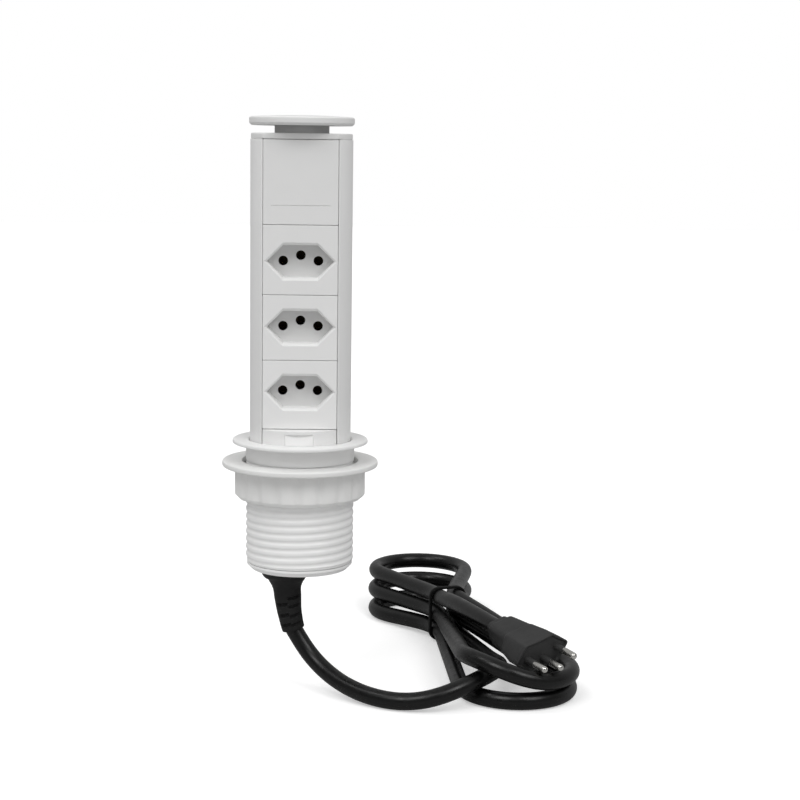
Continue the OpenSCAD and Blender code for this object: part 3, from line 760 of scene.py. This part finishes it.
def band_outline(r):
    """Section of the band over the blanking plate: round, with a flat front."""
    a = math.acos(-FRONT_Y / r)
    turns = [a + (2 * math.pi - 2 * a) * k / TOWER_STEPS for k in range(TOWER_STEPS + 1)]
    points = [(r * math.sin(t), -r * math.cos(t)) for t in turns]
    radii = [0.75 if k in (0, TOWER_STEPS) else 0.0 for k in range(TOWER_STEPS + 1)]
    return rounded(points, radii, 3)


def top_block():
    """Band that closes the tower, and the spigot under it that fits the shell."""
    band = prism(band_outline(TOWER_R - FIT), BAND_Z, TOWER_TOP, 0.7, 4)
    r, y = SHELL_R - FIT, FRONT_Y + RECESS + FIT
    a = math.acos(-y / r)
    turns = [a + (2 * math.pi - 2 * a) * k / SPIGOT_STEPS for k in range(SPIGOT_STEPS + 1)]
    outline = [(r * math.sin(t), -r * math.cos(t)) for t in turns]
    return joined(band, prism(outline, BAND_Z - SPIGOT_H, BAND_Z, 0.3, 2))


def blank_plate():
    """Plain front panel above the outlets, with a shallow groove across it."""
    low, high = BLANK_Z + PART_GAP, BAND_Z - PART_GAP
    outline = dense(rounded(panel_outline(low, high), 0.4, 3), 1.0)
    groove_z = low + GROOVE_RISE
    plate = []
    for i, d in edge_steps(0.35, 3):
        plate.append([(u, FRONT_Y + d, v) for u, v in inset(outline, i)])
    plate.append([(u, FRONT_Y + RECESS, v) for u, v in outline])
    rim = dense([(u, groove_z + v) for u, v in box(GROOVE_W, GROOVE_H)], 0.5)
    slot = []
    for i, d in ((0, 0), (0.05, 0.12), (0.12, 0.4)):
        slot.append([(u, FRONT_Y + d, v) for u, v in inset(rim, i)])
    return joined(
        stack(plate[::-1], end_cap=False),
        zipped(plate[0], slot[0]),
        stack(slot, start_cap=False),
    )


def push_button():
    """Button with a leaning front cut round with the tower, and the stop plate behind it."""
    low = BUTTON_Z - BUTTON_H / 2 - BUTTON_FILL
    high = BUTTON_Z + BUTTON_H / 2 + BUTTON_FILL
    half = BUTTON_W / 2 + BUTTON_FILL
    front_r = TOWER_R - 0.05 + BUTTON_FILL
    stop_y = SPRING_SEAT_Y - SPRING_LEN - STOP_T

    def section(z, less):
        flat = front_r - BUTTON_LEAN * (z - low) / (high - low)
        front = [half * k / 8 for k in range(-8, 9)]
        outline = [(half, stop_y + 0.5), (-half, stop_y + 0.5)]
        outline += [(x, -min(flat, math.sqrt(front_r ** 2 - x ** 2))) for x in front]
        corners = [0.0, 0.0, 0.3] + [0.0] * (len(front) - 2) + [0.3]
        return [(x, y, z) for x, y in inset(rounded(outline, corners, 3), less)]

    ends = edge_steps(0.25, 3)
    levels = [(low + d, i) for i, d in ends]
    levels += [(low + (high - low) * k / 10, 0.0) for k in range(1, 10)]
    levels += [(high - d, i) for i, d in ends[::-1]]
    plate = [(u, stop_y + STOP_T / 2 + v) for u, v in box(STOP_W, STOP_T)]
    stop = prism(rounded(plate, 0.3, 3), STOP_LOW, STOP_HIGH, 0.25, 2)
    return joined(stack([section(z, i) for z, i in levels]), stop)


def return_spring():
    """Coil between the button and the wall behind it."""
    steps = 20 * SPRING_TURNS
    run = SPRING_LEN - 2 * SPRING_WIRE
    points = []
    for i in range(steps + 1):
        a = 2 * math.pi * SPRING_TURNS * i / steps
        y = SPRING_SEAT_Y - SPRING_WIRE - run * (1 - i / steps)
        points.append((SPRING_R * math.cos(a), y, BUTTON_Z + SPRING_R * math.sin(a)))
    return along_path(points, lambda i, a: SPRING_WIRE / 2, WIRE_SIDES, Vector((0, 1, 0)))


# Boot, tie and plug

BOOT_POINTS = [
    (-7.5, 0, -70.5), (-7.5, 0, -73.4), (-7.2, 0, -76.2), (-7.1, 0, -79), (-6.9, 0, -82.5),
    (-6.6, 0, -86), (-6.2, 0, -90.4), (-5.7, 0, -94.8), (-4.9, 0, -99.2), (-4.1, 0, -103),
    (-3.2, 0, -106.2),
]
BOOT_RADII = [
    (-70.4, 17.0), (-73.4, 13.7), (-76.2, 11.2), (-77.4, 10.5), (-79.1, 9.4), (-80.8, 8.55),
    (-82.5, 7.95), (-84.2, 7.7), (-87.7, 7.6), (-91.1, 7.3), (-94.6, 7.0), (-98, 6.75),
    (-101.5, 6.55), (-105, 6.4), (-106.3, 6.3),
]
BOOT_SLOTS = ((1, (-87.7, -92.5, -98.2, -103.2)), (-1, (-90.5, -96.6, -102.2)))
BOOT_SLOT_DEPTH = 1.5
BOOT_SLOT_HALF = 0.7
BOOT_SLOT_LEAN = 0.8
BOOT_GAP = 0.3
BOOT_END = Vector((0.27, 0, -0.96)).normalized()
TIE_CLEAR = 0.25
TIE_SECTION = (
    (0, -1.7), (0.7, -1.7), (1.2, -1.4), (1.4, -0.9), (1.4, 0.9), (1.2, 1.4), (0.7, 1.7), (0, 1.7),
)
PLUG_W = 35.0
PLUG_H = 16.6
PLUG_FRONT = 9.0
PLUG_GRIP = 23.0
PLUG_HOLLOW = 0.9
PLUG_BACK = (17.0, 13.9)
PLUG_END = (14.0, 11.9)
PLUG_STEP = 0.13


def cord_boot():
    """Strain relief that narrows downwards, with rows of slots on two sides."""
    path = even(curve_through(BOOT_POINTS, 12), BOOT_GAP)

    def radius(i, a):
        z = path[i].z
        for (low, r), (high, s) in zip(BOOT_RADII[1:], BOOT_RADII):
            if z >= low:
                break
        plain = r + (s - r) * (z - low) / (high - low)
        cut = 0.0
        for side, places in BOOT_SLOTS:
            for at in places:
                across = eased(1.5 - abs(z - at - BOOT_SLOT_LEAN * math.cos(a)) / BOOT_SLOT_HALF)
                turn = abs(abs(math.sin(a)) - 0.8 + 0.05 * side)
                facing = eased(side * math.cos(a) / 0.08) * eased((0.34 - turn) / 0.12)
                cut = max(cut, across * facing)
        return plain - BOOT_SLOT_DEPTH * cut

    return along_path(path, radius, BOOT_SIDES, first=Vector((0, 0, -1)), last=BOOT_END)


def cord_tie():
    """Band round the strands at the hank's waist."""
    w = STRAND_APART + CORD_D + 2 * TIE_CLEAR
    h = 2 * LAYER_H + CORD_D + 2 * TIE_CLEAR
    place = (Matrix.Translation((TIE_AT[0], TIE_AT[1], LIE_Z + TIE_LIFT + LAYER_H))
             @ Matrix.Rotation(math.radians(NEAR_TURN), 4, "Z")
             @ Matrix.Rotation(math.radians(90), 4, "Y") @ Matrix.Rotation(math.radians(90), 4, "Z"))
    outline = rounded(box(w, h), CORD_D / 2 + TIE_CLEAR, 12)
    loops = [[(u, v, along) for u, v in inset(outline, -out)] for out, along in TIE_SECTION]
    return placed(stack(loops, ring=True), place)


def radial(points, count):
    """An outline's distance from its middle, at count even angles."""
    result = []
    for k in range(count):
        a = 2 * math.pi * k / count
        d = Vector((math.cos(a), math.sin(a)))
        best = None
        for p, q in zip(points, points[1:] + points[:1]):
            p, e = Vector(p), Vector(q) - Vector(p)
            cross = d.x * e.y - d.y * e.x
            if abs(cross) < 1e-9:
                continue
            s = (p.x * d.y - p.y * d.x) / cross
            t = (p.x * e.y - p.y * e.x) / cross
            if -1e-6 <= s <= 1 + 1e-6 and t > 0:
                best = t if best is None else max(best, t)
        result.append(best)
    return result


def plug_body():
    """Moulded plug with a hollow front face, narrowing to a tail where the cord enters."""
    shape = radial(rounded(hexagon(PLUG_W, PLUG_H), 1.4, 6), PLUG_SIDES)
    back = radial(rounded(box(*PLUG_BACK), 3, 6), PLUG_SIDES)
    tail = radial(rounded(box(*PLUG_END), 3, 6), PLUG_SIDES)

    def loop(radii, z, less=0.0):
        points = []
        for k, r in enumerate(radii):
            a = 2 * math.pi * k / PLUG_SIDES
            points.append(((r - less) * math.cos(a), (r - less) * math.sin(a), z))
        return points

    def narrowed(d):
        """Section at depth d, with a step behind the body's broad part."""
        share = (d - PLUG_FRONT) / (PLUG_LEN - PLUG_FRONT)
        if d >= PLUG_GRIP:
            left = (PLUG_LEN - d) / (PLUG_LEN - PLUG_GRIP)
            share += PLUG_STEP * min(1, (d - PLUG_GRIP) / 1.2) * left
        return loop([a + (b - a) * share for a, b in zip(shape, back)], -d)

    ends = edge_steps(0.8, 4)
    loops = [loop(shape, -PLUG_HOLLOW, 2.6), loop(shape, -PLUG_HOLLOW, 1.9)]
    loops += [loop(shape, -0.3, 1.5), loop(shape, 0, 1.1)]
    loops += [loop(shape, -d, i) for i, d in ends]
    loops += [loop(shape, -PLUG_FRONT)]
    loops += [narrowed(d) for d in (13, 18, 21, 22.2, 22.7)]
    loops += [narrowed(d) for d in (23, 23.3, 23.6, 23.9, 24.2, 25, 28, 33, 38, 42)]
    loops += [loop(back, -PLUG_LEN + d, i) for i, d in ends[::-1]]
    loops += [loop(tail, -PLUG_LEN + 0.2)]
    loops += [loop(tail, -PLUG_LEN - PLUG_TAIL + d, i) for i, d in ends[::-1]]
    return placed(stack(loops[::-1]), PLUG_PLACE)


def three_pins(part):
    """The same part at the places of the three pins."""
    parts = []
    for x in (-1, 0, 1):
        shift = Matrix.Translation((x * PIN_SPACING / 2, -EARTH_RISE if x == 0 else 0, 0))
        parts.append(placed(part, PLUG_PLACE @ shift))
    return joined(*parts)


def plug_pins():
    """Pins with round ends, and a thinner part inside each sleeve."""
    profile = [(0, -PLUG_HOLLOW), (SLEEVE_IN_R, -PLUG_HOLLOW), (SLEEVE_IN_R, SLEEVE_LEN)]
    profile += [(PIN_R, SLEEVE_LEN + 0.1), (PIN_R, 12)]
    for k in range(10, 0, -1):
        a = math.pi / 20 * k
        profile.append((PIN_R * math.sin(a), PIN_LEN - PIN_R + PIN_R * math.cos(a)))
    return three_pins(turned(profile + [(0, PIN_LEN)], PIN_SIDES, ring=False))


def pin_sleeves():
    profile = [(SLEEVE_IN_R, -PLUG_HOLLOW), (PIN_R, -PLUG_HOLLOW), (PIN_R, SLEEVE_LEN - 0.1),
               (PIN_R - 0.05, SLEEVE_LEN), (SLEEVE_IN_R, SLEEVE_LEN)]
    return three_pins(turned(profile, PIN_SIDES))


# Stage

FLOOR_SIDE = 12.0
FLOOR_MID = (0.05, -0.02, FLOOR_Z * MM)
FLOOR_NEAR = 0.22
FLOOR_FAR = 0.40
FLOOR_NEAR_LEVEL = 0.74
FLOOR_FAR_LEVEL = 0.30
FLOOR_SEEN = 0.80
FLOOR_MIRRORED = 0.42
FLOOR_GLOW = 0.42
WORLD_LEVEL = 0.47
WORLD_SEEN = 1.0
WORLD_MIRRORED_FRONT = 0.18
WORLD_MIRRORED_BACK = 0.38
# Name, strength, spread, elevation and azimuth in degrees
LAMPS = (
    ("left", 0.76, 28, 48, -34),
    ("side", 0.32, 20, 58, -93),
    ("right", 0.79, 28, 47, 34),
    ("top", 0.10, 60, 80, 160),
)


def make_floor():
    """Pale floor that shows white to the camera and lights the object from below only near it."""
    mesh = bpy.data.meshes.new("floor")
    corners = [(u, v, FLOOR_Z * MM) for u, v in box(FLOOR_SIDE, FLOOR_SIDE)]
    mesh.from_pydata(corners, [], [(0, 1, 2, 3)])
    floor = bpy.data.objects.new("floor", mesh)
    scene.collection.objects.link(floor)
    material = bpy.data.materials.new("floor_paper")
    material.use_nodes = True
    tree = material.node_tree
    tree.nodes.clear()
    place = tree.nodes.new("ShaderNodeTexCoord")
    away = tree.nodes.new("ShaderNodeVectorMath")
    away.operation = "DISTANCE"
    tree.links.new(place.outputs["Object"], away.inputs[0])
    away.inputs[1].default_value = FLOOR_MID
    paper = tree.nodes.new("ShaderNodeBsdfDiffuse")
    bounce = ranged(tree, away.outputs["Value"], FLOOR_NEAR_LEVEL, FLOOR_FAR_LEVEL,
                    FLOOR_NEAR, FLOOR_FAR, smooth=True)
    shown = blend(tree, blend(tree, bounce, FLOOR_MIRRORED, mirrored(tree)), FLOOR_SEEN, seen(tree))
    tree.links.new(shown, paper.inputs["Color"])
    glow = tree.nodes.new("ShaderNodeEmission")
    tree.links.new(blend(tree, 0.0, FLOOR_GLOW, seen(tree)), glow.inputs["Strength"])
    both = tree.nodes.new("ShaderNodeAddShader")
    output = tree.nodes.new("ShaderNodeOutputMaterial")
    tree.links.new(paper.outputs["BSDF"], both.inputs[0])
    tree.links.new(glow.outputs["Emission"], both.inputs[1])
    tree.links.new(both.outputs["Shader"], output.inputs["Surface"])
    mesh.materials.append(material)
    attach(floor, "tower")


def blend(tree, low, high, share):
    """Value that goes from low to high as share goes from 0 to 1. Each end is a number or a socket."""
    level = tree.nodes.new("ShaderNodeMapRange")
    for socket, value in ((level.inputs["To Min"], low), (level.inputs["To Max"], high)):
        if isinstance(value, float):
            socket.default_value = value
        else:
            tree.links.new(value, socket)
    tree.links.new(share, level.inputs["Value"])
    return level.outputs["Result"]


def mirrored(tree):
    """1 for rays off gloss or through glass."""
    path = tree.nodes.new("ShaderNodeLightPath")
    either = tree.nodes.new("ShaderNodeMath")
    either.operation = "MAXIMUM"
    tree.links.new(path.outputs["Is Glossy Ray"], either.inputs[0])
    tree.links.new(path.outputs["Is Transmission Ray"], either.inputs[1])
    return either.outputs["Value"]


def seen(tree):
    """1 for rays from the camera."""
    return tree.nodes.new("ShaderNodeLightPath").outputs["Is Camera Ray"]


def make_light():
    """Even white surroundings, darker in gloss than to the camera, and four broad lamps."""
    world = bpy.data.worlds.new("studio")
    scene.world = world
    world.use_nodes = True
    tree = world.node_tree
    background = tree.nodes["Background"]
    background.inputs["Color"].default_value = (1, 1, 1, 1)
    place = tree.nodes.new("ShaderNodeTexCoord")
    back = split(tree, place.outputs["Generated"])["Y"]
    gloss = ranged(tree, back, WORLD_MIRRORED_FRONT, WORLD_MIRRORED_BACK, -0.3, 0.3, smooth=True)
    shown = blend(tree, blend(tree, WORLD_LEVEL, gloss, mirrored(tree)), WORLD_SEEN, seen(tree))
    tree.links.new(shown, background.inputs["Strength"])
    for name, power, spread, elevation, azimuth in LAMPS:
        data = bpy.data.lights.new(name, "SUN")
        data.energy = power
        data.angle = math.radians(spread)
        lamp = bpy.data.objects.new(name, data)
        scene.collection.objects.link(lamp)
        e, a = math.radians(elevation), math.radians(azimuth)
        away = Vector((math.sin(a) * math.cos(e), -math.cos(a) * math.cos(e), math.sin(e)))
        lamp.rotation_mode = "QUATERNION"
        lamp.rotation_quaternion = away.to_track_quat("Z", "Y")


# Assembly

make_camera()

white = moulded("white_plastic", (0.90, 0.90, 0.895), 0.42, mottle=0.01)
inner_white = moulded("inner_plastic", (0.80, 0.80, 0.79), 0.48)
# Given darker than the white plastic: painted shade on the recess floors.
recess_floor_shaded = outlet_floor("outlet_floor", (0.74, 0.74, 0.735), (FRONT_Y + RECESS + FIT) * MM)
# A shade lighter than the white plastic: painted light on the button.
button_white = moulded("button_plastic", (0.95, 0.95, 0.945), 0.42, mottle=0.01)
clamp_white = moulded("clamp_plastic", (0.86, 0.86, 0.85), 0.50, mottle=0.01)
grey = moulded("neck_plastic", (0.58, 0.58, 0.58), 0.5)
black_cord = sheath("cord_sheath", (0.0015, 0.0015, 0.0015), 0.32, 0.42)
black_boot = moulded("boot_rubber", (0.017, 0.017, 0.017), 0.45, mottle=0.2, specular=0.12)
black_tie = moulded("tie_plastic", (0.004, 0.004, 0.004), 0.5, mottle=0.2, specular=0.1)
black_plug = moulded("plug_plastic", (0.037, 0.037, 0.037), 0.46, mottle=0.15, specular=0.2)
nickel = metal("pin_nickel", (0.72, 0.71, 0.68), 0.24, (1, 1, 1))
# The brass is painted near black on its faces towards the pin holes: painted shade in the holes.
brass = metal("contact_brass", (0.76, 0.56, 0.25), 0.34, (1, 1, 0.04), (0.02, 0.016, 0.01))
steel = metal("screw_steel", (0.58, 0.59, 0.61), 0.36, (1, 0.05, 1))
brown = moulded("core_brown", (0.16, 0.055, 0.02), 0.45, mottle=0.12)
green = moulded("core_green", (0.04, 0.19, 0.03), 0.45, mottle=0.12)
blue = moulded("core_blue", (0.03, 0.12, 0.36), 0.45, mottle=0.12)

path = cord_path()
tube = along_path(path, lambda i, a: CORD_D / 2, CORD_SIDES, last=PLUG_AXIS)
cord = piece("cord", tube, black_cord, "tower", ("cord_free", "cord_hank"))
tie = piece("tie_band", cord_tie(), black_tie, "tower", ("cord_tie",))
plug = piece("plug_housing", plug_body(), black_plug, "tower", ("plug_body",))
pins = piece("plug_contact_pins", plug_pins(), nickel, "tower", ("plug_pins",))
boot = piece("strain_relief", cord_boot(), black_boot, "tower", ("cord_boot",))
sleeves = piece("pin_sleeves", pin_sleeves(), black_plug, "tower", ())

piece("collar", collar(), white, "housing", ("desk_collar",))
piece("washer", clamp_ring(), clamp_white, "clamp", ("clamp_ring",))
piece("finger_nut", lock_nut(), clamp_white, "nut", ("lock_nut",))
tower_tube = prism(shell_outline(), SHELL_LOW, BAND_Z, 0.25, 2)
piece("shell", tower_tube, white, "tower", ("tower_shell",))
piece("lid", top_cap(), white, "tower", ("top_cap",))
piece("head_block", top_block(), white, "tower", ("top_block",))
piece("blanking_panel", blank_plate(), white, "tower", ("blank_plate",))
for number, ((low, high), pin_z) in enumerate(zip(FACE_ENDS, PIN_LINES), 1):
    piece("outlet_face_%d" % number, socket_face(low, high, pin_z), white, "tower",
          ("socket_face_%d" % number,))

piece("push_button", push_button(), button_white, "latch", ("release_button",))
spring = piece("return_spring", return_spring(), steel, "tower", ("button_spring",))
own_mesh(spring)

finishes = {
    "socket_base_1": recess_floor_shaded, "socket_base_2": recess_floor_shaded, "socket_base_3": recess_floor_shaded,
    "busbar_line": brass, "busbar_earth": brass, "busbar_neutral": brass,
    "cap_screw": steel, "terminal_screws": steel, "clamp_screws": steel,
    "cap_neck": grey, "tower_foot": white, "end_cap": white,
    "terminal_block": inner_white, "cord_clamp": inner_white, "cord_tail": black_cord,
    "core_line": brown, "core_earth": green, "core_neutral": blue,
}
for name, material in finishes.items():
    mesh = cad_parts[name].data
    mesh.materials.clear()
    mesh.materials.append(material)

make_floor()
make_light()
